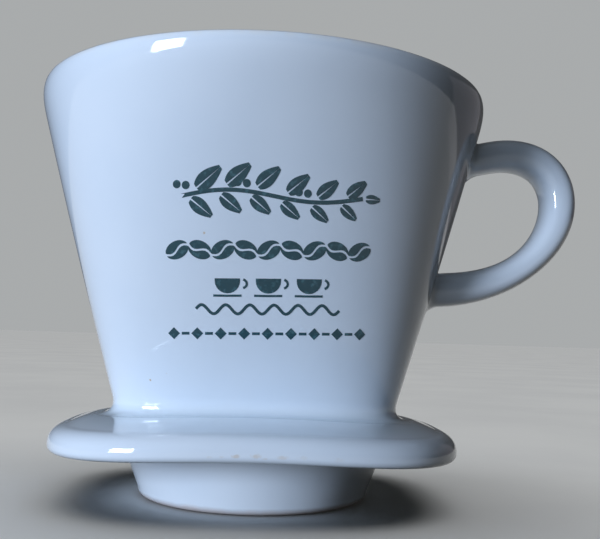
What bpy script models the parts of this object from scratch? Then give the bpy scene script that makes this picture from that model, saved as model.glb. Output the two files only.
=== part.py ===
"""Pour over coffee dripper in glazed porcelain: a ribbed funnel that goes from a round rim to a narrow
pierced floor, on a flat plate with a foot ring that centres it in a cup, with an ear handle.

Metres, +Z up. The origin is on the funnel's axis, on the plane of the plate's underside, which is the
plane that rests on the cup. The handle is on +X, and the broad sides of the funnel face -Y and +Y.
"""

import math

import bmesh
import bpy
import numpy as np
from mathutils import Vector

GAP = 0.0003  # left between pieces that touch

# Funnel
FUNNEL_BASE_Z = 0.0083
FUNNEL_TOP_Z = 0.1005
RIM_RADIUS = 0.065
BASE_HALF_LENGTH = 0.040
BASE_HALF_WIDTH = 0.018
BASE_EXPONENT = 3.0  # squareness of the outline: 2 is an ellipse
RIM_EXPONENT = 2.0
WALL_AT_BASE = 0.0044
WALL_AT_RIM = 0.0036
OUTER_LEVELS = 7
OUTLINE_STEPS = 1440  # how finely an outline is measured before its points are shared out
LIP_STEPS = 4

# Ribs inside the funnel, which hold the paper off the wall
RIBS = 28
RIB_HEIGHT = 0.0008
RIB_CREST = 0.10  # share of the pitch
RIB_FOOT = 0.24
RIB_LEVELS_Z = (0.012, 0.030, 0.048, 0.066, 0.073)
RIB_END_Z = 0.079

# Plate
PLATE_HALF_LENGTH = 0.0565
PLATE_HALF_WIDTH = 0.0509
PLATE_EXPONENT = 2.95
PLATE_EDGE = 0.0060  # thickness at the edge
PLATE_MIDDLE = 0.0080  # thickness beside the funnel
PLATE_ROUNDING = 0.0026
PLATE_POINTS = 72
SEAT_INSET = 0.0100  # the cup's rim bears on the underside between the edge and this line
SCORED_DEPTH = 0.0002  # inside that line the clay is scored away to take the foot's slip
EDGE_STEPS = 4
SLOPE_SHARE = 0.6  # share of the way in from the edge over which the top slopes
TOP_SHARES = (0.0, 0.3, SLOPE_SHARE, 0.8, 1.0)
SAG = 0.00075  # how far the plate's two ends dropped in the kiln
SAG_START_X = 0.0139

# Drain floor, set in the plate's slot
SLOT_HALF_LENGTH = 0.0355
SLOT_HALF_WIDTH = 0.0136
FLOOR_EDGE_Z = 0.0052
FLOOR_VALLEY_Z = 0.0027
FLOOR_POINTS = 48
FLOOR_SHARES = (0.75, 0.5, 0.3)
FLOOR_DISH = 1.6  # how sharply the dish deepens towards its middle
HOLE_RADIUS = 0.0024
HOLE_PITCH = 0.015
HOLES = 4
HOLE_SIDES = 20

# Foot ring
FOOT_HEIGHT = 0.0146
FOOT_TOP_RADIUS = 0.0370
FOOT_BOTTOM_RADIUS = 0.0330
FOOT_OUTER_ROUNDING = 0.0026
FOOT_INNER_ROUNDING = 0.0010
FOOT_INNER_RADIUS = 0.0278
FOOT_INNER_TOP_RADIUS = 0.0310
FOOT_STEPS = 56

# Handle: a cubic curve in the XZ plane from the upper root to the lower root
HANDLE_CURVE = ((0.0613, 0.0854), (0.1012, 0.1016), (0.1015, 0.0445), (0.0477, 0.0466))
HANDLE_THICKNESS = (0.0092, 0.0096, 0.0097, 0.0086, 0.0105)  # radial, at even shares along the curve
HANDLE_WIDTH = 0.0136
HANDLE_EXPONENT = 2.4
HANDLE_POINTS = 20
HANDLE_STATIONS = 22
HANDLE_ROOT_SHARE = 0.055  # where the straight roots begin, as a share of the curve
ROOT_REACH = 0.03
ROOT_HALVINGS = 40  # steps of the search for the wall
CURVE_NUDGE = 1e-4  # share of the curve over which its direction is taken

# Slip joints: beads of casting slip in the corners, sponged hollow
FUNNEL_FILLET = 0.0030
FOOT_FILLET = 0.0016
HANDLE_FILLET = 0.0018
HANDLE_FILLET_UNDER = 0.0042
LOWER_UNDER_SHARE = 0.6  # the lower joint needs less of that extra slip than the upper one
FILLET_DIP = 0.30  # how far a quarter round lies from its corner, as a share of its sides


def clear_scene():
    for item in list(bpy.data.objects):
        bpy.data.objects.remove(item, do_unlink=True)


def glaze(name, color, roughness):
    """A glossy white ceramic material."""
    material = bpy.data.materials.new(name)
    material.use_nodes = True
    shader = material.node_tree.nodes["Principled BSDF"]
    shader.inputs["Base Color"].default_value = (*color, 1.0)
    shader.inputs["Roughness"].default_value = roughness
    shader.inputs["Metallic"].default_value = 0.0
    shader.inputs["Coat Weight"].default_value = 0.5
    return material


def finish(name, bm, parent, color, roughness=0.12):
    """Makes an object from the mesh, with its faces pointing out, shaded smooth between its corners."""
    bmesh.ops.recalc_face_normals(bm, faces=bm.faces)
    mesh = bpy.data.meshes.new(name)
    bm.to_mesh(mesh)
    bm.free()
    mesh.shade_smooth()
    mesh.set_sharp_from_angle(angle=math.radians(40))
    mesh.materials.append(glaze(name + "_glaze", color, roughness))
    item = bpy.data.objects.new(name, mesh)
    item.parent = parent
    bpy.context.scene.collection.objects.link(item)
    return item


def blend(start, end, share):
    return start + (end - start) * share


def outline(half_length, half_width, exponent, shares):
    """Points of a superellipse, each at its share of the way round, counted by length from +X."""
    turn = np.linspace(0, 2 * math.pi, OUTLINE_STEPS + 1)
    x = half_length * np.sign(np.cos(turn)) * np.abs(np.cos(turn)) ** (2 / exponent)
    y = half_width * np.sign(np.sin(turn)) * np.abs(np.sin(turn)) ** (2 / exponent)
    length = np.concatenate([[0], np.cumsum(np.hypot(np.diff(x), np.diff(y)))])
    places = np.asarray(shares) * length[-1]
    return np.interp(places, length, x), np.interp(places, length, y)


def arc(center_r, center_z, radius, start, end, steps):
    """Points of a rounding in a profile of (radius, height), with its angles in degrees from +R."""
    turns = [math.radians(blend(start, end, step / steps)) for step in range(steps + 1)]
    return [(center_r + radius * math.cos(turn), center_z + radius * math.sin(turn)) for turn in turns]


def even(count):
    return [step / count for step in range(count)]


def add_ring(bm, points):
    return [bm.verts.new(point) for point in points]


def skin(rings, ends="joined"):
    """A solid through a series of rings: its ends are joined to each other, or each gets a cap."""
    bm = bmesh.new()
    loops = [add_ring(bm, points) for points in rings]
    pairs = list(zip(loops, loops[1:]))
    if ends == "joined":
        pairs.append((loops[-1], loops[0]))
    for here, there in pairs:
        for i in range(len(here)):
            bm.faces.new((here[i - 1], here[i], there[i], there[i - 1]))
    if ends != "joined":
        caps = [bm.faces.new(loops[0]), bm.faces.new(loops[-1])]
        if ends == "domed":
            bmesh.ops.poke(bm, faces=caps)
    return bm


# ---------------------------------------------------------------- funnel

def funnel_share(z):
    return (z - FUNNEL_BASE_Z) / (FUNNEL_TOP_Z - WALL_AT_RIM / 2 - FUNNEL_BASE_Z)


def funnel_section(z):
    """Half length, half width and squareness of the funnel's outside at a height."""
    share = funnel_share(z)
    return (
        blend(BASE_HALF_LENGTH, RIM_RADIUS, share),
        blend(BASE_HALF_WIDTH, RIM_RADIUS, share),
        blend(BASE_EXPONENT, RIM_EXPONENT, min(max(share, 0.0), 1.0)),
    )


def funnel_ring(z, inset, shares, rib=0.0):
    """A ring of the funnel's wall, inset from its outside, with the inner ribs standing out by rib."""
    half_length, half_width, exponent = funnel_section(z)
    x, y = outline(half_length - inset, half_width - inset, exponent, shares)
    x_crest, y_crest = outline(half_length - inset - rib, half_width - inset - rib, exponent, shares)
    crest = np.array([i % 4 in (1, 2) for i in range(len(shares))])
    return [
        Vector((x_crest[i], y_crest[i], z) if crest[i] else (x[i], y[i], z)) for i in range(len(shares))
    ]


def build_funnel(parent):
    """The wall: up its outside, over the rounded lip, down its ribbed inside and across its base."""
    plain = [(rib + (corner + 0.5) / 4) / RIBS for rib in range(RIBS) for corner in range(4)]
    corners = (-RIB_FOOT / 2, -RIB_CREST / 2, RIB_CREST / 2, RIB_FOOT / 2)
    ribbed = [(rib + 0.5 + corner) / RIBS for rib in range(RIBS) for corner in corners]
    lip = WALL_AT_RIM / 2
    lip_z = FUNNEL_TOP_Z - lip

    rings = []
    for level in range(OUTER_LEVELS):
        z = blend(FUNNEL_BASE_Z, lip_z, level / (OUTER_LEVELS - 1))
        rings.append(funnel_ring(z, 0.0, plain))
    for step in range(1, LIP_STEPS + 1):
        turn = math.pi * step / (LIP_STEPS + 1)
        share = step / (LIP_STEPS + 1)
        places = [blend(a, b, share) for a, b in zip(plain, ribbed)]
        ring = funnel_ring(lip_z, lip * (1 - math.cos(turn)), places)
        rings.append([point + Vector((0, 0, lip * math.sin(turn))) for point in ring])
    rings.append(funnel_ring(lip_z, WALL_AT_RIM, ribbed))
    rings.append(funnel_ring(RIB_END_Z, blend(WALL_AT_BASE, WALL_AT_RIM, funnel_share(RIB_END_Z)), ribbed))
    for z in reversed(RIB_LEVELS_Z):
        wall = blend(WALL_AT_BASE, WALL_AT_RIM, funnel_share(z))
        rings.append(funnel_ring(z, wall, ribbed, RIB_HEIGHT))
    rings.append(funnel_ring(FUNNEL_BASE_Z, WALL_AT_BASE, ribbed))
    finish("funnel_wall", skin(rings), parent, (0.80, 0.85, 0.90))


def outside_x(y, z):
    """How far out along +X the funnel's outside is at a height and an offset from the middle."""
    half_length, half_width, exponent = funnel_section(z)
    return half_length * (1 - min(abs(y) / half_width, 1.0) ** exponent) ** (1 / exponent)


def slide_to_wall(point, direction, clearance):
    """Moves a point along a direction until it stands off the funnel's outside by the clearance."""
    near, far = -ROOT_REACH, ROOT_REACH
    for _ in range(ROOT_HALVINGS):
        middle = (near + far) / 2
        spot = point + direction * middle
        if spot.x - outside_x(spot.y, spot.z) > clearance:
            near = middle
        else:
            far = middle
    return point + direction * near


# ---------------------------------------------------------------- plate, floor and foot

def sag(x):
    """How far the plate hangs below its own plane towards its two ends."""
    past = max(0.0, abs(x) - SAG_START_X) / (PLATE_HALF_LENGTH - SAG_START_X)
    return SAG * past**2


def plate_ring(inset, z):
    """A ring of the plate, inset from its outline."""
    x, y = outline(PLATE_HALF_LENGTH - inset, PLATE_HALF_WIDTH - inset, PLATE_EXPONENT, even(PLATE_POINTS))
    return [Vector((a, b, z - sag(a))) for a, b in zip(x, y)]


def plate_top_ring(share):
    """A ring of the plate's top, from its edge at share 0 to its slot at share 1."""
    x, y = outline(
        blend(PLATE_HALF_LENGTH - PLATE_ROUNDING, SLOT_HALF_LENGTH, share),
        blend(PLATE_HALF_WIDTH - PLATE_ROUNDING, SLOT_HALF_WIDTH, share),
        blend(PLATE_EXPONENT, BASE_EXPONENT, share),
        even(PLATE_POINTS),
    )
    z = blend(PLATE_EDGE, PLATE_MIDDLE, min(share / SLOPE_SHARE, 1.0))
    return [Vector((a, b, z - sag(a))) for a, b in zip(x, y)]


def slot_ring(z):
    x, y = outline(SLOT_HALF_LENGTH, SLOT_HALF_WIDTH, BASE_EXPONENT, even(PLATE_POINTS))
    return [Vector((a, b, z)) for a, b in zip(x, y)]


def build_plate(parent):
    """The plate: its underside from the slot out, round its edge, and its top back to the slot."""
    rings = [
        slot_ring(SCORED_DEPTH),
        plate_ring(SEAT_INSET + SCORED_DEPTH, SCORED_DEPTH),
        plate_ring(SEAT_INSET, 0.0),
        plate_ring(PLATE_ROUNDING, 0.0),
    ]
    for inset, z in arc(0.0, PLATE_ROUNDING, PLATE_ROUNDING, -90, 0, EDGE_STEPS)[1:]:
        rings.append(plate_ring(PLATE_ROUNDING - inset, z))
    for inset, z in arc(0.0, PLATE_EDGE - PLATE_ROUNDING, PLATE_ROUNDING, 0, 90, EDGE_STEPS)[:-1]:
        rings.append(plate_ring(PLATE_ROUNDING - inset, z))
    for share in TOP_SHARES:
        rings.append(plate_top_ring(share))
    finish("base_plate", skin(rings), parent, (0.78, 0.83, 0.88))


def floor_ring(share, z):
    x, y = outline(
        (SLOT_HALF_LENGTH - GAP) * share, (SLOT_HALF_WIDTH - GAP) * share, BASE_EXPONENT, even(FLOOR_POINTS)
    )
    return [Vector((a, b, z)) for a, b in zip(x, y)]


def build_floor(parent):
    """The funnel's floor: dished towards its row of drain holes, flat below."""
    rings = [floor_ring(FLOOR_SHARES[-1], 0.0), floor_ring(1.0, 0.0), floor_ring(1.0, FLOOR_EDGE_Z)]
    for share in FLOOR_SHARES:
        rings.append(floor_ring(share, blend(FLOOR_VALLEY_Z, FLOOR_EDGE_Z, share**FLOOR_DISH)))
    floor = finish("drain_floor", skin(rings, "capped"), parent, (0.72, 0.77, 0.81))

    bm = bmesh.new()
    for hole in range(HOLES):
        x = (hole - (HOLES - 1) / 2) * HOLE_PITCH
        made = bmesh.ops.create_cone(
            bm, cap_ends=True, segments=HOLE_SIDES, radius1=HOLE_RADIUS, radius2=HOLE_RADIUS,
            depth=4 * FLOOR_EDGE_Z,
        )
        bmesh.ops.translate(bm, verts=made["verts"], vec=(x, 0, FLOOR_EDGE_Z / 2))
    cutter = finish("hole_cutter", bm, parent, (0.5, 0.5, 0.5))
    cutter.hide_render = True
    cutter.display_type = "WIRE"
    cut = floor.modifiers.new("drain_holes", "BOOLEAN")
    cut.object = cutter
    cut.operation = "DIFFERENCE"
    cut.solver = "EXACT"


def turned(profile):
    """A solid made by turning a closed profile of (radius, height) points round the funnel's axis."""
    bm = bmesh.new()
    corners = add_ring(bm, [Vector((r, 0, z)) for r, z in profile])
    edges = [bm.edges.new((corners[i - 1], corners[i])) for i in range(len(corners))]
    bmesh.ops.spin(
        bm, geom=corners + edges, cent=(0, 0, 0), axis=(0, 0, 1), angle=2 * math.pi, steps=FOOT_STEPS,
        use_merge=True,
    )
    return bm


def foot_radius(z):
    """Outside of the foot at a height below the plate: it tapers downwards."""
    return blend(FOOT_TOP_RADIUS, FOOT_BOTTOM_RADIUS, -z / FOOT_HEIGHT)


def build_foot(parent):
    base = -FOOT_HEIGHT
    outer = foot_radius(base) - FOOT_OUTER_ROUNDING
    inner = FOOT_INNER_RADIUS + FOOT_INNER_ROUNDING
    profile = [(FOOT_INNER_TOP_RADIUS, -GAP), (foot_radius(-GAP), -GAP), (foot_radius(base / 2), base / 2)]
    profile += arc(outer, base + FOOT_OUTER_ROUNDING, FOOT_OUTER_ROUNDING, 0, -90, 4)
    profile += arc(inner, base + FOOT_INNER_ROUNDING, FOOT_INNER_ROUNDING, -90, -180, 2)
    finish("foot_ring", turned(profile), parent, (0.74, 0.78, 0.80), 0.2)


# ---------------------------------------------------------------- handle

def handle_point(share):
    a, b, c, d = [Vector((x, 0, z)) for x, z in HANDLE_CURVE]
    rest = 1 - share
    return a * rest**3 + b * 3 * rest**2 * share + c * 3 * rest * share**2 + d * share**3


def handle_along(share):
    return (handle_point(share + CURVE_NUDGE) - handle_point(share - CURVE_NUDGE)).normalized()


def handle_ring(share):
    """An oval section of the handle, square to its curve."""
    thickness = float(np.interp(share, np.linspace(0, 1, len(HANDLE_THICKNESS)), HANDLE_THICKNESS))
    along = handle_along(share)
    outward = Vector((-along.z, 0, along.x))
    u, v = outline(thickness / 2, HANDLE_WIDTH / 2, HANDLE_EXPONENT, even(HANDLE_POINTS))
    return [handle_point(share) + outward * a + Vector((0, b, 0)) for a, b in zip(u, v)]


def handle_rings():
    """Every section of the handle, with both ends run on to the funnel's outside."""
    shares = [
        blend(HANDLE_ROOT_SHARE, 1 - HANDLE_ROOT_SHARE, step / (HANDLE_STATIONS - 1))
        for step in range(HANDLE_STATIONS)
    ]
    rings = [handle_ring(share) for share in shares]
    upper = [slide_to_wall(point, -handle_along(shares[0]), GAP) for point in rings[0]]
    lower = [slide_to_wall(point, handle_along(shares[-1]), GAP) for point in rings[-1]]
    return [upper, *rings, lower]


def build_handle(parent):
    bm = skin(handle_rings(), "domed")
    bm.verts.ensure_lookup_table()
    for point in bm.verts[-2:]:
        point.co = slide_to_wall(point.co, Vector((-1, 0, 0)), GAP)
    finish("handle", bm, parent, (0.76, 0.82, 0.88))


# ---------------------------------------------------------------- slip joints

def bead(corner, up, out):
    """Section of a bead: its corner, its top, the hollow of its face and its foot."""
    hollow = corner + (up - corner) * FILLET_DIP + (out - corner) * FILLET_DIP
    return [corner, up, hollow, out]


def build_bead(name, sections, parent):
    """A ring of sections, each bridged to the next."""
    finish(name, skin(sections), parent, (0.77, 0.82, 0.87))


def build_handle_joint(name, root, beyond, is_upper, parent):
    """The bead where the handle meets the funnel, wider under the upper root and under the lower one."""
    middle = sum(root, Vector()) / len(root)
    sections = []
    for near, far in zip(root, beyond):
        out = Vector((0, near.y - middle.y, near.z - middle.z)).normalized()
        under = max(0.0, -out.z) * (1.0 if is_upper else LOWER_UNDER_SHARE)
        size = blend(HANDLE_FILLET, HANDLE_FILLET_UNDER, under)
        along = (far - near).normalized()
        reach = min(size, (far - near).length)
        corner = slide_to_wall(near + out * GAP, Vector((-1, 0, 0)), GAP)
        up = near + along * reach + out * GAP
        foot = slide_to_wall(near + out * (GAP + size), Vector((-1, 0, 0)), GAP)
        sections.append(bead(corner, up, foot))
    build_bead(name, sections, parent)


def build_joints(parent):
    """The bead round the funnel's base, the one round the foot, and one at each end of the handle."""
    shares = even(PLATE_POINTS)
    corner = funnel_ring(FUNNEL_BASE_Z, -GAP, shares)
    up = funnel_ring(FUNNEL_BASE_Z + FUNNEL_FILLET, -GAP, shares)
    out = funnel_ring(FUNNEL_BASE_Z, -GAP - FUNNEL_FILLET, shares)
    build_bead("funnel_slip_joint", [bead(*points) for points in zip(corner, up, out)], parent)

    top = -GAP
    low = top - FOOT_FILLET
    profile = [
        Vector((foot_radius(top) + GAP, 0, top)),
        Vector((foot_radius(low) + GAP, 0, low)),
        Vector((foot_radius(top) + GAP + FOOT_FILLET, 0, top)),
    ]
    section = bead(*profile)
    finish("foot_slip_joint", turned([(point.x, point.z) for point in section]), parent, (0.7, 0.75, 0.78))

    rings = handle_rings()
    build_handle_joint("handle_upper_slip_joint", rings[0], rings[1], True, parent)
    build_handle_joint("handle_lower_slip_joint", rings[-1], rings[-2], False, parent)


def main():
    clear_scene()
    dripper = bpy.data.objects.new("pour_over_dripper", None)
    bpy.context.scene.collection.objects.link(dripper)
    build_funnel(dripper)
    build_floor(dripper)
    build_plate(dripper)
    build_foot(dripper)
    build_handle(dripper)
    build_joints(dripper)


main()
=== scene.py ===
import math

import bmesh
import bpy
import numpy as np
from mathutils import Matrix, Vector


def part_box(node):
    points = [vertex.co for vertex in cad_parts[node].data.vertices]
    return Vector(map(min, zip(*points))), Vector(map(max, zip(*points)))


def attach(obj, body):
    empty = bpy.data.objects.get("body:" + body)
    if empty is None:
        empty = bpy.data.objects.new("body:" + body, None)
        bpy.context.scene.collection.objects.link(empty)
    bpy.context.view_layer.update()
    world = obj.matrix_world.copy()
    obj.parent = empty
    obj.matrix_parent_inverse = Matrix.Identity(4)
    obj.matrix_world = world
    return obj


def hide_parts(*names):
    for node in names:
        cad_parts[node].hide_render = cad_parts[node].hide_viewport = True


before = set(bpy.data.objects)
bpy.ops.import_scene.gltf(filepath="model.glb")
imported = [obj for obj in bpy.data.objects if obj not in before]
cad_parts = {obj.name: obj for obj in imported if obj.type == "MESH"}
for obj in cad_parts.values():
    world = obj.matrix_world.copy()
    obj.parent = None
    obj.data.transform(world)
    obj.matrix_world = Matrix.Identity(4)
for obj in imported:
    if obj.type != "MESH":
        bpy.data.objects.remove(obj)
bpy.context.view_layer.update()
mm = 0.001
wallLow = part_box("funnel_wall")[0]
plateLow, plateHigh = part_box("base_plate")
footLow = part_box("foot_ring")[0]
print("frame loaded:", ", ".join(sorted(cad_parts)))


# how the pieces are drawn up

def blend(start, end, share):
    return start + (end - start) * share


def ease(value, low, high):  # 0 below low, 1 above high, soft at both ends
    share = min(max((value - low) / (high - low), 0.0), 1.0)
    return share * share * (3 - 2 * share)


def outline(halfLength, halfWidth, squareness, shares):  # 2 is an ellipse, more is squarer
    turn = np.linspace(0, 2 * math.pi, 2881)
    x = halfLength * np.sign(np.cos(turn)) * np.abs(np.cos(turn)) ** (2 / squareness)
    y = halfWidth * np.sign(np.sin(turn)) * np.abs(np.sin(turn)) ** (2 / squareness)
    length = np.concatenate([[0], np.cumsum(np.hypot(np.diff(x), np.diff(y)))])
    places = np.asarray(shares) * length[-1]
    return np.interp(places, length, x), np.interp(places, length, y)


def even(count):
    return np.arange(count) / count


def flatRing(x, y, z):
    return np.column_stack([x, y, np.broadcast_to(z, np.shape(x))])


def deselect():
    if bpy.context.object and bpy.context.object.mode != "OBJECT":
        bpy.ops.object.mode_set(mode="OBJECT")
    bpy.ops.object.select_all(action="DESELECT")


def drawUp(name, rings, ends):  # a circle drawn up through each ring by an extrude
    deselect()
    around = len(rings[0])
    filled = "NGON" if ends == "capped" else "NOTHING"
    bpy.ops.mesh.primitive_circle_add(vertices=around, radius=1, fill_type=filled)
    piece = bpy.context.object
    piece.name = name
    piece.data.name = name
    bpy.ops.object.mode_set(mode="EDIT")
    bpy.ops.mesh.select_all(action="SELECT")
    for number, ring in enumerate(rings):
        if number:
            bpy.ops.mesh.extrude_region_move()
        work = bmesh.from_edit_mesh(piece.data)
        work.verts.ensure_lookup_table()
        for corner, place in zip(work.verts[-around:], ring):
            corner.co = place
        bmesh.update_edit_mesh(piece.data)
    bpy.ops.mesh.select_all(action="SELECT")
    if ends == "joined":
        bpy.ops.mesh.remove_doubles(threshold=1e-6)
    bpy.ops.mesh.normals_make_consistent(inside=False)
    bpy.ops.object.mode_set(mode="OBJECT")
    return piece


def smooth(piece, angle=35):
    deselect()
    piece.select_set(True)
    bpy.context.view_layer.objects.active = piece
    bpy.ops.object.shade_smooth_by_angle(angle=math.radians(angle))


def applyAll(piece):
    deselect()
    piece.select_set(True)
    bpy.context.view_layer.objects.active = piece
    for modifier in list(piece.modifiers):
        bpy.ops.object.modifier_apply(modifier=modifier.name)


def cutWith(piece, cutter, operation):
    cut = piece.modifiers.new(operation.lower(), "BOOLEAN")
    cut.operation = operation
    cut.solver = "EXACT"
    cut.object = cutter
    applyAll(piece)
    bpy.data.objects.remove(cutter, do_unlink=True)


# the funnel

funnelWall = {
    "around": 28 * 16,
    "baseZ": wallLow.z,
    "topZ": plateHigh.z + 0.0925,
    "rimRadius": 0.0654,
    "baseHalfLength": 0.040,
    "baseHalfWidth": 0.018,
    "baseSquareness": 3.0,
    "rimSquareness": 2.0,
    "wallAtBase": 0.0044,
    "wallAtRim": 0.0036,
    "lipOuterDrop": 0.0092,  # the outer side of the lip rolls over softly
    "lipOuterIn": 0.0030,
    "lipOuterCurve": 1.2,
    "lipOuterSteps": 10,
    "lipInnerDrop": 0.0020,
    "lipInnerSteps": 6,
    "footFillet": 0.0052,
    "filletSteps": 12,
    "intoPlate": 0.0016,
    "outerRings": 30,
    "innerRings": 40,
    "ribs": 28,
    "ribHeight": 0.0009,
    "ribHalfWidth": 0.17,  # share of the pitch
    "ribFade": (0.072, 0.082),
}
lipZ = funnelWall["topZ"] - funnelWall["wallAtRim"] / 2


def funnelSize(z):
    share = (z - funnelWall["baseZ"]) / (lipZ - funnelWall["baseZ"])
    held = min(max(share, 0.0), 1.0)
    return (
        blend(funnelWall["baseHalfLength"], funnelWall["rimRadius"], share),
        blend(funnelWall["baseHalfWidth"], funnelWall["rimRadius"], share),
        blend(funnelWall["baseSquareness"], funnelWall["rimSquareness"], held),
    )


def wallAt(z):
    share = (z - funnelWall["baseZ"]) / (lipZ - funnelWall["baseZ"])
    return blend(funnelWall["wallAtBase"], funnelWall["wallAtRim"], share)


def funnelRing(z, inset, shares):
    halfLength, halfWidth, squareness = funnelSize(z)
    x, y = outline(halfLength - inset, halfWidth - inset, squareness, shares)
    return flatRing(x, y, z)


def outsideX(y, z):
    halfLength, halfWidth, squareness = funnelSize(z)
    return halfLength * (1 - min(abs(y) / halfWidth, 1.0) ** squareness) ** (1 / squareness)


basePlate = {
    "around": funnelWall["around"],  # so that the plate and the funnel share the ring where they meet
    "halfLength": (plateHigh.x - plateLow.x) / 2,
    "halfWidth": (plateHigh.y - plateLow.y) / 2,
    "squareness": 2.95,
    "edge": 0.0068,
    "shoulderIn": 0.0048,
    "shoulderDrop": 0.0043,
    "underRounding": 0.0018,
    "roundingSteps": 10,
    "middle": plateHigh.z + 0.0003,
    "slopeCurve": 1.6,
    "slopeRings": 16,
    "underFillet": 0.0004,
    "slotHalfLength": 0.0355,
    "slotHalfWidth": 0.0136,
    "archRise": 0.0012,  # firing left the plate's middle high and its two ends low
    "archDrop": 0.0007,
}


def plateSag(x):
    rise, drop = basePlate["archRise"], basePlate["archDrop"]
    return drop - (rise + drop) * np.maximum(0, 1 - (x / basePlate["halfLength"]) ** 2) ** 2


def toeRing(shares):  # where the fillet under the funnel runs out on the plate
    ring = funnelRing(basePlate["middle"], -funnelWall["footFillet"], shares)
    ring[:, 2] -= plateSag(ring[:, 0])
    return ring


def liftedRing(z, lift, shares):  # the wall's ring, with each corner slid up along the wall by its own lift
    plain, above = funnelRing(z, 0.0, shares), funnelRing(z + mm, 0.0, shares)
    return plain + (above - plain) * (lift / mm)[:, None]


def makeFunnel():
    shares = even(funnelWall["around"])
    baseZ, topZ, fillet = funnelWall["baseZ"], funnelWall["topZ"], funnelWall["footFillet"]
    middle, into = basePlate["middle"], funnelWall["intoPlate"]
    rings = []

    def add(ring):
        rings.append(np.array(ring))

    toe, seat = toeRing(shares), funnelRing(middle, 0.0, shares)
    lift = -plateSag(seat[:, 0])
    corner, head = liftedRing(middle, lift, shares), liftedRing(middle + fillet, lift, shares)
    inner = funnelRing(middle, wallAt(baseZ), shares)
    inner[:, 2] = toe[:, 2]
    add(inner - (0, 0, into))
    add(toe - (0, 0, into))
    for step in range(funnelWall["filletSteps"]):
        share = step / funnelWall["filletSteps"]
        add(toe * (1 - share) ** 2 + corner * 2 * share * (1 - share) + head * share**2)
    startZ, endZ = middle + fillet, topZ - funnelWall["lipOuterDrop"]
    for step in range(funnelWall["outerRings"] + 1):
        share = step / funnelWall["outerRings"]
        add(liftedRing(blend(startZ, endZ, share), lift * (1 - share), shares))
    for step in range(1, funnelWall["lipOuterSteps"] + 1):
        turn = math.radians(90 * step / funnelWall["lipOuterSteps"])
        z = topZ - funnelWall["lipOuterDrop"] * (1 - math.sin(turn))
        inward = (1 - math.cos(turn)) ** funnelWall["lipOuterCurve"]
        add(funnelRing(z, funnelWall["lipOuterIn"] * inward, shares))
    innerWidth = wallAt(topZ) - funnelWall["lipOuterIn"]
    for step in range(1, funnelWall["lipInnerSteps"] + 1):
        turn = math.radians(90 * step / funnelWall["lipInnerSteps"])
        z = topZ - funnelWall["lipInnerDrop"] * (1 - math.cos(turn))
        add(funnelRing(z, funnelWall["lipOuterIn"] + innerWidth * math.sin(turn), shares))
    phase = (shares * funnelWall["ribs"]) % 1 - 0.5
    ribShape = np.where(
        np.abs(phase) < funnelWall["ribHalfWidth"],
        0.5 + 0.5 * np.cos(np.pi * phase / funnelWall["ribHalfWidth"]),
        0,
    )
    innerTop = topZ - funnelWall["lipInnerDrop"]
    for step in range(1, funnelWall["innerRings"] + 1):
        z = blend(innerTop, baseZ, step / funnelWall["innerRings"])
        height = funnelWall["ribHeight"] * (1 - ease(z, *funnelWall["ribFade"]))
        plain = funnelRing(z, wallAt(z), shares)
        crest = funnelRing(z, wallAt(z) + height, shares)
        add(plain + (crest - plain) * ribShape[:, None])
    add(rings[0])
    piece = drawUp("funnelWall", rings, "joined")
    smooth(piece)
    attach(piece, "root")
    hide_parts("funnel_wall", "funnel_slip_joint")
    return piece


funnel = makeFunnel()
print("funnel wall drawn up:", len(funnel.data.polygons), "faces")


# the plate

def makePlate():
    shares = even(basePlate["around"])
    long, wide, square = basePlate["halfLength"], basePlate["halfWidth"], basePlate["squareness"]
    slotLong, slotWide = basePlate["slotHalfLength"], basePlate["slotHalfWidth"]
    under = basePlate["underRounding"]
    rings = []

    def add(x, y, z, sagging=True):
        rings.append(flatRing(x, y, z - plateSag(x) if sagging else z))

    x, y = outline(slotLong, slotWide, funnelWall["baseSquareness"], shares)
    add(x, y, 0.0, False)
    for share in (0.35, 0.7, 1.0):
        x, y = outline(
            blend(slotLong, long - under, share), blend(slotWide, wide - under, share),
            blend(funnelWall["baseSquareness"], square, share), shares,
        )
        add(x, y, 0.0)
    shoulderIn, shoulderDrop = basePlate["shoulderIn"], basePlate["shoulderDrop"]
    for across, tall, centreZ, first in (
        (under, under, under, -90), (shoulderIn, shoulderDrop, basePlate["edge"] - shoulderDrop, 0)
    ):
        for step in range(1 if first else 0, basePlate["roundingSteps"] + 1):
            turn = math.radians(first + 90 * step / basePlate["roundingSteps"])
            inset = across * (1 - math.cos(turn))
            x, y = outline(long - inset, wide - inset, square, shares)
            add(x, y, centreZ + tall * math.sin(turn))
    shoulder, toe = rings[-1], toeRing(shares)
    for step in range(1, basePlate["slopeRings"] + 1):
        share = step / basePlate["slopeRings"]
        ring = blend(shoulder, toe, share)
        ring[:, 2] = blend(shoulder[:, 2], toe[:, 2], 1 - (1 - share) ** basePlate["slopeCurve"])
        rings.append(ring)
    x, y = outline(slotLong, slotWide, funnelWall["baseSquareness"], shares)
    rings.append(flatRing(x, y, basePlate["middle"] - plateSag(x) - basePlate["underFillet"]))
    rings.append(rings[0])
    piece = drawUp("basePlate", rings, "joined")
    smooth(piece)
    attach(piece, "root")
    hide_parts("base_plate")
    return piece


plate = makePlate()
print("plate pressed:", len(plate.data.polygons), "faces")


# the floor with its drain holes

drainFloor = {
    "around": 160,
    "halfLength": 0.0355,
    "halfWidth": 0.0136,
    "edgeZ": 0.0052,
    "valleyZ": 0.0027,
    "cornerRounding": 0.0028,
    "roundingSteps": 8,
    "valleyRings": 12,
    "intoWall": 0.0006,
    "collar": 0.0004,
    "holes": 4,
    "pitch": 0.015,
    "holeRadius": 0.0024,
    "holeRounding": 0.0006,
    "cutterDepth": 0.03,
}


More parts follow.
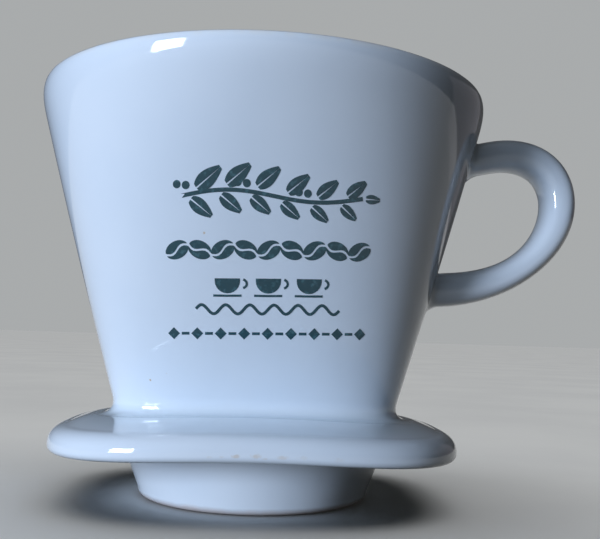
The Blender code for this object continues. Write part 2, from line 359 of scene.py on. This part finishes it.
def makeFloor():
    shares = even(drainFloor["around"])
    long, wide, square = drainFloor["halfLength"], drainFloor["halfWidth"], funnelWall["baseSquareness"]
    corner, into = drainFloor["cornerRounding"], drainFloor["intoWall"]
    rings = []
    for share in (0.12, 0.4, 0.7, 1.0):
        x, y = outline((long + into) * share, (wide + into) * share, square, shares)
        rings.append(flatRing(x, y, 0.0))
    top = drainFloor["edgeZ"] + corner
    for inset, z in ((-into, top + drainFloor["collar"]), (0.0, top)):
        x, y = outline(long - inset, wide - inset, square, shares)
        rings.append(flatRing(x, y, z))
    for step in range(1, drainFloor["roundingSteps"] + 1):
        turn = math.radians(90 * step / drainFloor["roundingSteps"])
        inset = corner * (1 - math.cos(turn))
        x, y = outline(long - inset, wide - inset, square, shares)
        rings.append(flatRing(x, y, drainFloor["edgeZ"] + corner * (1 - math.sin(turn))))
    for step in range(1, drainFloor["valleyRings"]):
        share = 1 - step / drainFloor["valleyRings"]
        x, y = outline((long - corner) * share, (wide - corner) * share, square, shares)
        rings.append(flatRing(x, y, blend(drainFloor["valleyZ"], drainFloor["edgeZ"], share**2)))
    piece = drawUp("drainFloor", rings, "capped")

    deselect()
    made = []
    for hole in range(drainFloor["holes"]):
        x = (hole - (drainFloor["holes"] - 1) / 2) * drainFloor["pitch"]
        bpy.ops.mesh.primitive_cylinder_add(
            vertices=40, radius=drainFloor["holeRadius"], depth=drainFloor["cutterDepth"], location=(x, 0, 0)
        )
        made.append(bpy.context.object)
    for item in made:
        item.select_set(True)
    bpy.ops.object.join()
    bpy.ops.object.transform_apply()
    cutWith(piece, bpy.context.object, "DIFFERENCE")
    soften = piece.modifiers.new("softHoles", "BEVEL")
    soften.width = drainFloor["holeRounding"]
    soften.segments = 4
    soften.limit_method = "ANGLE"
    soften.angle_limit = math.radians(60)
    applyAll(piece)
    smooth(piece)
    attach(piece, "root")
    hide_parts("drain_floor")
    return piece


floor = makeFloor()
print("floor pierced:", len(floor.data.polygons), "faces")


# the foot ring

footRing = {
    "around": 200,
    "bottomZ": footLow.z,
    "topRadius": 0.0373,
    "bottomRadius": 0.0332,
    "outerRounding": 0.0027,
    "innerRounding": 0.0012,
    "innerRadius": 0.0278,
    "innerTopRadius": 0.0310,
    "fillet": 0.0016,
    "intoPlate": 0.0008,
    "skirtTop": 0.0002,
}


def arc(centreR, centreZ, radius, first, last, steps):
    turns = [math.radians(blend(first, last, step / steps)) for step in range(steps + 1)]
    return [(centreR + radius * math.cos(turn), centreZ + radius * math.sin(turn)) for turn in turns]


def makeFoot():
    low, fillet, into = footRing["bottomZ"], footRing["fillet"], footRing["intoPlate"]
    outer = footRing["bottomRadius"] - footRing["outerRounding"]
    inner = footRing["innerRadius"] + footRing["innerRounding"]
    innerTop, outerTop = footRing["innerTopRadius"], footRing["topRadius"]
    sunk = outerTop + fillet + into
    profile = [(innerTop - fillet, into), (sunk, into), (sunk, footRing["skirtTop"])]
    profile += arc(outerTop + fillet, -fillet, fillet, 90, 180, 6)
    profile += arc(outer, low + footRing["outerRounding"], footRing["outerRounding"], 0, -90, 8)
    profile += arc(inner, low + footRing["innerRounding"], footRing["innerRounding"], -90, -180, 6)
    profile += arc(innerTop - fillet, -fillet, fillet, 0, 90, 6)
    turns = 2 * math.pi * even(footRing["around"])
    rings = []
    for radius, z in profile + profile[:1]:
        x, y = radius * np.cos(turns), radius * np.sin(turns)
        follow = ease(z, low / 2, -fillet)  # the top of the ring follows the arch of the plate
        rings.append(flatRing(x, y, z - plateSag(x) * follow))
    piece = drawUp("footRing", rings, "joined")
    smooth(piece)
    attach(piece, "root")
    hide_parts("foot_ring", "foot_slip_joint")
    return piece


foot = makeFoot()
print("foot turned:", len(foot.data.polygons), "faces")


# the handle

cupHandle = {
    "curve": ((0.0613, 0.0854), (0.1012, 0.1016), (0.1015, 0.0445), (0.0477, 0.0466)),
    "thickness": (0.0092, 0.0096, 0.0097, 0.0086, 0.0105),  # at even steps along the curve
    "width": 0.0136,
    "squareness": 2.4,
    "around": 64,
    "stations": 60,
    "rootShare": 0.06,
    "fillet": 0.0018,
    "upperUnder": 0.0055,
    "lowerUnder": 0.0042,
    "filletSteps": 10,
    "intoWall": 0.0008,
    "spread": 0.0006,
    "reach": 0.03,  # how far a corner may slide to find the wall
    "nudge": 1e-4,
}


def handlePoint(share):
    a, b, c, d = [Vector((x, 0, z)) for x, z in cupHandle["curve"]]
    rest = 1 - share
    return a * rest**3 + b * 3 * rest**2 * share + c * 3 * rest * share**2 + d * share**3


def handleAlong(share):
    nudge = cupHandle["nudge"]
    return (handlePoint(share + nudge) - handlePoint(share - nudge)).normalized()


def handleThickness(share):  # a smooth curve through the stated values
    values = cupHandle["thickness"]
    place = share * (len(values) - 1)
    start = min(int(place), len(values) - 2)
    part = place - start
    before, after = values[max(start - 1, 0)], values[min(start + 2, len(values) - 1)]
    here, there = values[start], values[start + 1]
    slopeHere, slopeThere = (there - before) / 2, (after - here) / 2
    return (
        here * (2 * part**3 - 3 * part**2 + 1) + slopeHere * (part**3 - 2 * part**2 + part)
        + there * (3 * part**2 - 2 * part**3) + slopeThere * (part**3 - part**2)
    )


def handleRing(share):
    along = handleAlong(share)
    outward = Vector((-along.z, 0, along.x))
    u, v = outline(
        handleThickness(share) / 2, cupHandle["width"] / 2, cupHandle["squareness"], even(cupHandle["around"])
    )
    return [handlePoint(share) + outward * a + Vector((0, b, 0)) for a, b in zip(u, v)]


def slideToWall(point, direction, clearance=0.0):
    near, far = -cupHandle["reach"], cupHandle["reach"]
    for _ in range(40):
        middle = (near + far) / 2
        spot = point + direction * middle
        if spot.x - outsideX(spot.y, spot.z) > clearance:
            near = middle
        else:
            far = middle
    return point + direction * near


def rootRings(share, direction, under):  # from the handle down its fillet on to the wall
    section = handleRing(share)
    feet = [slideToWall(point, direction) for point in section]
    middle = sum(feet, Vector()) / len(feet)
    back = Vector((-1, 0, 0))
    rings = []
    for step in range(cupHandle["filletSteps"] + 1):
        turn = math.radians(90 * step / cupHandle["filletSteps"])
        ring = []
        for foot in feet:
            out = Vector((0, foot.y - middle.y, foot.z - middle.z)).normalized()
            size = blend(cupHandle["fillet"], under, ease(-out.z, -0.2, 1.0))
            edge = slideToWall(foot + out * size, back)
            outward = edge - foot
            ring.append(foot - direction * size * (1 - math.sin(turn)) + outward * (1 - math.cos(turn)))
        rings.append(ring)
    sunk = []
    for point, foot in zip(rings[-1], feet):
        sunk.append(point + (point - foot).normalized() * cupHandle["spread"] + back * cupHandle["intoWall"])
    rings.append(sunk)
    return rings


def makeHandle():
    first, last = cupHandle["rootShare"], 1 - cupHandle["rootShare"]
    shares = [blend(first, last, step / (cupHandle["stations"] - 1)) for step in range(cupHandle["stations"])]
    upper = rootRings(first, -handleAlong(first), cupHandle["upperUnder"])
    lower = rootRings(last, handleAlong(last), cupHandle["lowerUnder"])
    rings = upper[::-1] + [handleRing(share) for share in shares] + lower
    piece = drawUp("cupHandle", rings, "capped")
    smooth(piece, 60)
    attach(piece, "root")
    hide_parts("handle", "handle_upper_slip_joint", "handle_lower_slip_joint")
    return piece


handle = makeHandle()
print("handle drawn:", len(handle.data.polygons), "faces")


# the printed ornament on the front, in millimetres until it is laid on the wall

printedOrnament = {
    "middle": (2.0, 50.5),
    "tilt": math.radians(1.4),
    "sprig": {"z": 65.2, "from": -21.5, "to": 23.0, "bow": 1.3, "stem": 0.95, "leaves": 6, "leaf": 8.6},
    "beans": {"z": 52.6, "count": 9, "pitch": 5.75, "long": 3.05, "wide": 2.15, "tilt": 24, "slit": 0.55},
    "cups": {"z": 44.2, "count": 3, "pitch": 10.4, "bowl": 3.2, "depth": 3.1, "ear": 1.25, "saucer": 3.6},
    "wave": {"z": 38.0, "length": 37.0, "pitch": 6.2, "height": 1.15, "width": 0.75},
    "rule": {"z": 31.8, "count": 9, "pitch": 6.1, "diamond": 1.55, "dash": 1.0, "width": 0.7},
    # axis, pitch and range of the cuts that let the film follow the wall
    "cuts": ((0, 1.6, -28, 30), (2, 4.0, 28, 74)),
    "film": 0.00014,
}


def ovalPoints(x, z, long, wide, tilt=0.0, count=22):
    turns = [2 * math.pi * step / count for step in range(count)]
    return placed([(long * math.cos(turn), wide * math.sin(turn)) for turn in turns], x, z, tilt)


def placed(points, x, z, tilt=0.0):
    c, s = math.cos(tilt), math.sin(tilt)
    return [(x + u * c - v * s, z + u * s + v * c) for u, v in points]


def strokePoints(path, width):  # a band of even width along a path
    left, right = [], []
    for number, (x, z) in enumerate(path):
        before, after = path[max(number - 1, 0)], path[min(number + 1, len(path) - 1)]
        along = Vector((after[0] - before[0], after[1] - before[1])).normalized() * (width / 2)
        left.append((x - along.y, z + along.x))
        right.append((x + along.y, z - along.x))
    return left + right[::-1]


def leafHalves(x, z, length, tilt, slit=0.42):  # two halves with the midrib left open between them
    halves = []
    for side in (1, -1):
        edge = []
        for step in range(15):
            share = step / 14
            belly = 0.235 * length * math.sin(math.pi * share**0.82) ** 0.85
            edge.append((length * share, side * (slit / 2 + belly * (1 - 0.25 * share))))
        rib = [(length * share, side * slit / 2 * (1 - share)) for share in (0.93, 0.6, 0.3, 0.06)]
        halves.append(placed(edge[1:-1] + rib, x, z, tilt))
    return halves


def beanHalves(x, z, tilt):
    beans = printedOrnament["beans"]
    long, wide = beans["long"], beans["wide"]
    halves = []
    for side in (1, -1):
        turns = [math.radians(blend(10, 170, step / 14)) for step in range(15)]
        edge = [(long * math.cos(turn), side * wide * math.sin(turn)) for turn in turns]
        seam = []
        for step in range(9):
            share = step / 8
            along = blend(-0.9, 0.9, share)
            seam.append((long * along, side * beans["slit"] / 2 + 0.28 * wide * math.sin(math.pi * along)))
        halves.append(placed(edge + seam, x, z, tilt))
    return halves


def sprigShapes():
    sprig = printedOrnament["sprig"]
    span = sprig["to"] - sprig["from"]

    def stemAt(share):
        return (sprig["from"] + span * share, sprig["z"] + sprig["bow"] * math.sin(2 * math.pi * share))

    shapes = [strokePoints([stemAt(step / 40) for step in range(41)], sprig["stem"])]
    for number in range(sprig["leaves"]):
        x, z = stemAt((number + 0.35) / sprig["leaves"])
        for side, size in ((1, 1.0), (-1, 0.86)):
            reach = sprig["leaf"] * size * (1 - 0.05 * number)
            shapes += leafHalves(x + 0.7 * side, z + side * 0.95, reach, side * math.radians(38))
        if number % 2 == 0:
            for away in (2.1, 4.3):
                shapes.append(ovalPoints(x - away + 0.6, z + 1.7 + 0.5 * away / 4.3, 0.95, 0.95))
    tipX, tipZ = stemAt(1.0)
    shapes += leafHalves(tipX + 0.6, tipZ, 4.2, 0.0)
    return shapes


def cupShapes():
    cups = printedOrnament["cups"]
    shapes = []
    for number in range(cups["count"]):
        x, z = (number - (cups["count"] - 1) / 2) * cups["pitch"], cups["z"]
        turns = [math.radians(blend(180, 360, step / 12)) for step in range(13)]
        bowl = [(cups["bowl"] * math.cos(turn), 0.9 + cups["depth"] * math.sin(turn)) for turn in turns]
        shapes.append(placed([(-cups["bowl"], 1.5)] + bowl + [(cups["bowl"], 1.5)], x, z))
        side = cups["bowl"] + 0.35
        ear = []
        for step in range(11):
            turn = math.radians(blend(70, -70, step / 10))
            ear.append((side + cups["ear"] * math.cos(turn) * 1.1, 0.2 + cups["ear"] * math.sin(turn) * 0.9))
        shapes.append(placed(strokePoints(ear, 0.6), x, z))
        saucer = [(-cups["saucer"], -2.75), (0, -2.8), (cups["saucer"], -2.75)]
        shapes.append(placed(strokePoints(saucer, 0.55), x, z))
    return shapes


def ornamentShapes():
    beans, wave, rule = printedOrnament["beans"], printedOrnament["wave"], printedOrnament["rule"]
    shapes = sprigShapes() + cupShapes()
    for number in range(beans["count"]):
        x = (number - (beans["count"] - 1) / 2) * beans["pitch"]
        shapes += beanHalves(x, beans["z"], math.radians(beans["tilt"] * (-1) ** number))
    steps = 96
    path = []
    for step in range(steps + 1):
        x = wave["length"] * (step / steps - 0.5)
        path.append((x, wave["z"] + wave["height"] * math.sin(2 * math.pi * x / wave["pitch"])))
    shapes.append(strokePoints(path, wave["width"]))
    for number in range(rule["count"]):
        x, size = (number - (rule["count"] - 1) / 2) * rule["pitch"], rule["diamond"]
        shapes.append(placed([(size, 0), (0, size), (-size, 0), (0, -size)], x, rule["z"]))
        if number:
            middle, dash = x - rule["pitch"] / 2, rule["dash"]
            ends = [(middle - dash, rule["z"]), (middle + dash, rule["z"])]
            shapes.append(strokePoints(ends, rule["width"]))
    return shapes


def outsideY(x, z):
    halfLength, halfWidth, squareness = funnelSize(z)
    return halfWidth * (1 - min(abs(x) / halfLength, 1.0) ** squareness) ** (1 / squareness)


def makeOrnament():
    deselect()
    bpy.ops.mesh.primitive_circle_add(vertices=3, radius=1e-5)
    piece = bpy.context.object
    piece.name = "printedOrnament"
    bpy.ops.object.mode_set(mode="EDIT")
    bpy.ops.mesh.delete(type="VERT")
    for points in ornamentShapes():
        bpy.ops.mesh.primitive_circle_add(vertices=len(points), radius=1, fill_type="NGON")
        work = bmesh.from_edit_mesh(piece.data)
        work.verts.ensure_lookup_table()
        for corner, (x, z) in zip(work.verts[-len(points):], points):
            corner.co = (x * mm, 0, z * mm)
        bmesh.update_edit_mesh(piece.data)
    bpy.ops.mesh.select_all(action="SELECT")
    bpy.ops.mesh.quads_convert_to_tris(ngon_method="BEAUTY")
    for axis, pitch, low, high in printedOrnament["cuts"]:
        for step in range(1, int((high - low) / pitch)):
            place, normal = [0, 0, 0], [0, 0, 0]
            place[axis], normal[axis] = (low + step * pitch) * mm, 1
            bpy.ops.mesh.select_all(action="SELECT")
            bpy.ops.mesh.bisect(plane_co=place, plane_no=normal)
    bpy.ops.object.mode_set(mode="OBJECT")
    middleX, middleZ = printedOrnament["middle"]
    turned = Matrix.Rotation(printedOrnament["tilt"], 2)
    for corner in piece.data.vertices:
        x, z = turned @ Vector((corner.co.x, corner.co.z - middleZ * mm))
        x, z = x + middleX * mm, z + middleZ * mm
        corner.co = (x, -outsideY(x, z), z)
    film = piece.modifiers.new("film", "SOLIDIFY")
    film.thickness = printedOrnament["film"]
    film.offset = 0
    applyAll(piece)
    bpy.ops.object.mode_set(mode="EDIT")
    bpy.ops.mesh.select_all(action="SELECT")
    bpy.ops.mesh.normals_make_consistent(inside=False)
    bpy.ops.object.mode_set(mode="OBJECT")
    smooth(piece)
    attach(piece, "root")
    return piece


ornament = makeOrnament()
print("ornament printed:", len(ornament.data.polygons), "faces")


# finishes

class Wire:  # a socket whose arithmetic adds Math nodes
    def __init__(self, tree, socket=None):
        self.tree = tree
        self.socket = socket

    def node(self, kind, settings=None, values=None, output=0):
        made = self.tree.nodes.new(kind)
        for name, value in (settings or {}).items():
            setattr(made, name, value)
        for key, value in (values or {}).items():
            if isinstance(value, Wire):
                self.tree.links.new(value.socket, made.inputs[key])
            else:
                made.inputs[key].default_value = value
        return Wire(self.tree, made.outputs[output])

    def math(self, operation, first, second):
        return self.node("ShaderNodeMath", {"operation": operation}, {0: first, 1: second})

    def __add__(self, other):
        return self.math("ADD", self, other)

    def __sub__(self, other):
        return self.math("SUBTRACT", self, other)

    def __rsub__(self, other):
        return self.math("SUBTRACT", other, self)

    def __mul__(self, other):
        return self.math("MULTIPLY", self, other)

    def __gt__(self, other):
        return self.math("GREATER_THAN", self, other)

    def __or__(self, other):  # whichever is more
        return self.math("MAXIMUM", self, other)

    __radd__, __rmul__ = __add__, __mul__

    def ease(self, low, high):  # 0 at low, 1 at high
        values = {"Value": self, "From Min": low, "From Max": high}
        return self.node("ShaderNodeMapRange", {"interpolation_type": "SMOOTHSTEP"}, values)

    def between(self, low, high):
        return self * (high - low) + low

    def tint(self, first, second):  # first where this is 0, second where it is 1
        return self.node("ShaderNodeMix", {"data_type": "RGBA"}, {0: self, 6: first, 7: second}, 2)

    def noise(self, scale, detail=2.0):
        values = {"Vector": self, "Scale": scale, "Detail": detail}
        return self.node("ShaderNodeTexNoise", None, values, "Fac")


def startMaterial(name, constants):
    material = bpy.data.materials.new(name)
    material.use_nodes = True
    shader = material.node_tree.nodes["Principled BSDF"]
    for socket, value in constants.items():
        shader.inputs[socket].default_value = value
    board = Wire(material.node_tree)
    place = board.node("ShaderNodeTexCoord", output="Object")
    return material, shader, board, place


def connect(board, shader, **feeds):
    for socket, wire in feeds.items():
        board.tree.links.new(wire.socket, shader.inputs[socket.replace("_", " ")])


milkGlaze = {
    "white": (0.735, 0.800, 0.865, 1),
    "cloud": (0.700, 0.772, 0.845, 1),
    "cloudScale": 26,
    "cloudBand": (0.35, 0.70),
    "thin": (0.760, 0.780, 0.790, 1),  # over the clay at the lip
    "thinBand": (0.0022, 0.0002),  # under the lip's top
    "wanderScale": 190,
    "wanderBand": (0.30, 0.62),
    "pooled": (0.640, 0.730, 0.800, 1),  # in the corner over the plate
    "pooledBand": (0.0052, 0.0008),
    "pooledUnder": (0.0016, 0.0004),
    "pooledShare": 0.75,
    "iron": (0.58, 0.42, 0.24, 1),
    "ragged": 1.6,  # how far a spot's outline wanders, against its radius
    "raggedScale": 900,
    "speckScale": 62,
    "speckRadius": 0.017,
    "speckShare": 0.80,
    "speckDepth": 0.5,
    "speckRough": 0.2,
    "waveScale": 42,
    "waveShare": 0.35,
    "peelScale": 520,
    "peelShare": 0.03,
    "relief": 0.00005,
    "roughness": (0.045, 0.095),
    "footTurn": (0.0022, 0.0002),  # bare clay below these heights over the foot's lowest point
    "footWander": 0.0016,
    "bareClay": (0.60, 0.50, 0.46, 1),
    "clayShare": 0.7,
    "clayRough": 0.5,
}
# spots where iron burned through the glaze: x, y, z and radius in millimetres, and how dark
ironSpots = {
    "plateEdge": (
        (-10.3, -50.9, 2.7, 1.0, 0.12), (-7.4, -50.9, 2.8, 0.9, 0.14), (-4.1, -50.9, 3.0, 1.5, 0.42),
        (0.6, -50.9, 3.1, 1.9, 0.36), (2.7, -50.9, 2.6, 0.9, 0.20), (6.6, -50.9, 3.0, 1.7, 0.28),
        (11.5, -50.9, 3.0, 1.6, 0.12), (20.2, -50.7, 2.6, 1.9, 0.14), (27.6, -50.3, 2.3, 1.8, 0.12),
    ),
    "lip": (
        (-6.9, -63.0, 99.0, 0.8, 0.60), (5.4, -62.0, 98.6, 0.8, 0.40), (-30.0, -56.6, 98.0, 0.4, 0.50),
    ),
    "front": (
        (-14.2, -42.3, 56.2, 0.50, 0.90), (-28.6, -20.5, 18.4, 0.42, 1.00), (-24.0, -22.5, 20.5, 0.28, 0.60),
    ),
}


def glazeMaterial(name, spots=(), bare=False, flatten=1.0):
    look = milkGlaze
    material, shader, board, place = startMaterial(name, {
        "Coat Weight": 0.35, "Coat Roughness": 0.03, "Specular IOR Level": 0.5, "IOR": 1.5,
    })
    height = board.node("ShaderNodeSeparateXYZ", None, {0: place}, "Z")
    cloud = place.noise(look["cloudScale"], 4)
    color = cloud.ease(*look["cloudBand"]).tint(look["white"], look["cloud"])

    lip = height.ease(*[funnelWall["topZ"] - under for under in look["thinBand"]])
    wander = place.noise(look["wanderScale"], 3)
    color = (lip * wander.ease(*look["wanderBand"])).tint(color, look["thin"])
    floorZ = basePlate["middle"]
    pooled = height.ease(*[floorZ + over for over in look["pooledBand"]])
    pooled = pooled * height.ease(*[floorZ - under for under in look["pooledUnder"]])
    color = (pooled * look["pooledShare"]).tint(color, look["pooled"])

    values = {"Vector": place, "Scale": look["speckScale"]}
    cells = board.node("ShaderNodeTexVoronoi", None, values, "Distance")
    owner = cells.socket.node.outputs["Color"]
    chance = board.node("ShaderNodeSeparateColor", None, {0: Wire(board.tree, owner)}, "Red")
    inside = 1 - cells.ease(look["speckRadius"] * 0.4, look["speckRadius"])
    speck = inside * (chance > look["speckShare"]) * look["speckDepth"]
    pressed = board.node("ShaderNodeVectorMath", {"operation": "MULTIPLY"}, {0: place, 1: (1, 1, flatten)})
    for x, y, z, radius, depth in spots:
        heart = (x * mm, y * mm, z * mm * flatten)
        away = board.node("ShaderNodeVectorMath", {"operation": "DISTANCE"}, {0: pressed, 1: heart}, "Value")
        ragged = away + (place.noise(look["raggedScale"], 2) - 0.5) * (radius * look["ragged"] * mm)
        speck = speck | ((1 - ragged.ease(radius * 0.25 * mm, radius * mm)) * depth)
    color = speck.tint(color, look["iron"])

    rough = cloud.between(*look["roughness"]) + speck * look["speckRough"]
    if bare:
        over = height - footRing["bottomZ"] + (wander - 0.5) * look["footWander"]
        clay = 1 - over.ease(look["footTurn"][1], look["footTurn"][0])
        color = (clay * look["clayShare"]).tint(color, look["bareClay"])
        rough = rough + clay * look["clayRough"]

    wave = place.noise(look["waveScale"], 1) * look["waveShare"]
    relief = wave + place.noise(look["peelScale"], 2) * look["peelShare"]
    values = {"Strength": 1.0, "Distance": look["relief"], "Height": relief}
    bump = board.node("ShaderNodeBump", None, values)
    connect(board, shader, Base_Color=color, Roughness=rough, Normal=bump)
    return material


tealInk = {
    "deep": (0.008, 0.058, 0.075, 1),
    "worn": (0.040, 0.130, 0.155, 1),
    "wornBand": (0.52, 0.72),
    "roughness": (0.06, 0.22),
    "scale": 700,
    "relief": 0.00004,
}


def inkMaterial():
    constants = {"Coat Weight": 0.6, "Coat Roughness": 0.03}
    material, shader, board, place = startMaterial("tealInk", constants)
    grain = place.noise(tealInk["scale"], 3)
    color = grain.ease(*tealInk["wornBand"]).tint(tealInk["deep"], tealInk["worn"])
    rough = grain.between(*tealInk["roughness"])
    values = {"Strength": 0.6, "Distance": tealInk["relief"], "Height": grain}
    bump = board.node("ShaderNodeBump", None, values)
    connect(board, shader, Base_Color=color, Roughness=rough, Normal=bump)
    return material


paleGround = {
    "light": (0.80, 0.81, 0.80, 1),
    "dark": (0.75, 0.76, 0.755, 1),
    "scale": 9,
    "band": (0.3, 0.7),
}


def groundMaterial():
    constants = {"Roughness": 0.9, "Specular IOR Level": 0.0}
    material, shader, board, place = startMaterial("paleGround", constants)
    cloud = place.noise(paleGround["scale"], 5)
    color = cloud.ease(*paleGround["band"]).tint(paleGround["light"], paleGround["dark"])
    connect(board, shader, Base_Color=color)
    return material


bodyGlaze = glazeMaterial("milkGlaze", ironSpots["lip"] + ironSpots["front"])
plateGlaze = glazeMaterial("plateGlaze", ironSpots["plateEdge"], flatten=2.6)
footGlaze = glazeMaterial("footGlaze", bare=True)
for piece, material in (
    (funnel, bodyGlaze), (handle, bodyGlaze), (floor, bodyGlaze),
    (plate, plateGlaze), (foot, footGlaze), (ornament, inkMaterial()),
):
    piece.data.materials.clear()
    piece.data.materials.append(material)
print("finishes mixed")


# camera, stage and light

cameraShot = {
    "place": (0.00006, -0.24704, 0.03116),
    "turn": 0.0477,  # radians to the right of +Y
    "lift": 0.0816,
    "roll": 0.0315,
    "lens": 49.68,
    "sensor": 36,
    "near": 0.01,
}
studio = {
    "floorSize": 40.0,
    "aim": (0, 0, 0.045),
    "ambient": {"color": (1.0, 0.97, 0.88), "strength": 0.018},
    "mirrored": {"color": (0.95, 0.97, 1.0), "strength": 0.075},
    "backdrop": {"color": (0.86, 0.89, 0.90), "strength": 0.46},
}
# each lamp stands off the aim in a direction, and some light only the floor or show no reflection
lamps = {
    "windowKey": {"toward": (-0.71, -0.70, 0.10), "away": 1.25, "size": (0.32, 0.50), "power": 17.8,
                  "color": (0.70, 0.81, 1.0), "only": "pieces"},
    "frontFill": {"toward": (-0.48, -0.86, 0.18), "away": 1.25, "size": (0.9, 0.9), "power": 3.4,
                  "color": (0.66, 0.80, 1.0), "glossy": False, "only": "pieces"},
    "sideGlow": {"toward": (0.85, 0.52, 0.05), "away": 1.5, "size": (1.1, 1.1), "power": 0.5,
                 "color": (0.92, 0.88, 1.0), "only": "pieces"},
    "softTop": {"toward": (-0.25, -0.15, 1.0), "away": 1.4, "size": (1.4, 1.4), "power": 0.9,
                "color": (0.85, 0.93, 1.0)},
    "backFill": {"toward": (-0.30, 0.92, 0.30), "away": 1.5, "size": (1.3, 1.0), "power": 6.5,
                 "color": (0.92, 0.96, 1.0), "glossy": False, "only": "pieces"},
    "floorWash": {"toward": (0.0, 0.10, 1.0), "away": 2.2, "spread": 1.4, "power": 1.7,
                  "color": (0.97, 0.98, 1.0), "only": "ground"},
}


def makeCamera():
    deselect()
    bpy.ops.object.camera_add()
    camera = bpy.context.object
    turned = (
        Matrix.Rotation(-cameraShot["turn"], 4, "Z")
        @ Matrix.Rotation(math.pi / 2 + cameraShot["lift"], 4, "X")
        @ Matrix.Rotation(cameraShot["roll"], 4, "Z")
    )
    camera.matrix_world = Matrix.Translation(cameraShot["place"]) @ turned
    camera.data.lens = cameraShot["lens"]
    camera.data.sensor_width = cameraShot["sensor"]
    camera.data.clip_start = cameraShot["near"]
    bpy.context.scene.camera = camera


def makeStage():
    deselect()
    bpy.ops.mesh.primitive_plane_add(size=studio["floorSize"], location=(0, 0, footLow.z))
    ground = bpy.context.object
    ground.name = "paleFloor"
    ground.data.materials.append(groundMaterial())
    ground.visible_diffuse = False  # a pale floor that throws no light back up on the glaze
    return ground


def makeLamp(name, lamp, receivers):
    deselect()
    aim = Vector(studio["aim"])
    place = aim + Vector(lamp["toward"]).normalized() * lamp["away"]
    bpy.ops.object.light_add(type="SUN" if "spread" in lamp else "AREA", location=place)
    made = bpy.context.object
    made.name = name
    if "spread" in lamp:
        made.data.angle = lamp["spread"]
    else:
        made.data.shape = "RECTANGLE"
        made.data.size, made.data.size_y = lamp["size"]
    made.data.energy = lamp["power"]
    made.data.color = lamp["color"]
    made.rotation_euler = (aim - place).to_track_quat("-Z", "Y").to_euler()
    made.visible_camera = False
    made.visible_glossy = lamp.get("glossy", True)
    if "only" in lamp:
        lit = bpy.data.collections.new(name + "Receivers")
        for receiver in receivers[lamp["only"]]:
            lit.objects.link(receiver)
        made.light_linking.receiver_collection = lit


def makeWorld():
    world = bpy.data.worlds.new("studio")
    bpy.context.scene.world = world
    world.use_nodes = True
    board = Wire(world.node_tree)
    skies = []
    for name in ("ambient", "mirrored", "backdrop"):
        values = {"Color": (*studio[name]["color"], 1), "Strength": studio[name]["strength"]}
        skies.append(board.node("ShaderNodeBackground", None, values))
    rays = board.node("ShaderNodeLightPath", output="Is Camera Ray").socket.node
    sky = skies[0]
    for output, other in (("Is Glossy Ray", skies[1]), ("Is Camera Ray", skies[2])):
        chosen = Wire(board.tree, rays.outputs[output])
        sky = board.node("ShaderNodeMixShader", None, {0: chosen, 1: sky, 2: other})
    board.tree.links.new(sky.socket, board.tree.nodes["World Output"].inputs["Surface"])


makeCamera()
ground = makeStage()
for name, lamp in lamps.items():
    makeLamp(name, lamp, {"ground": [ground], "pieces": [funnel, plate, floor, foot, handle, ornament]})
makeWorld()
bpy.context.scene.view_settings.view_transform = "Standard"
print("camera and light set")
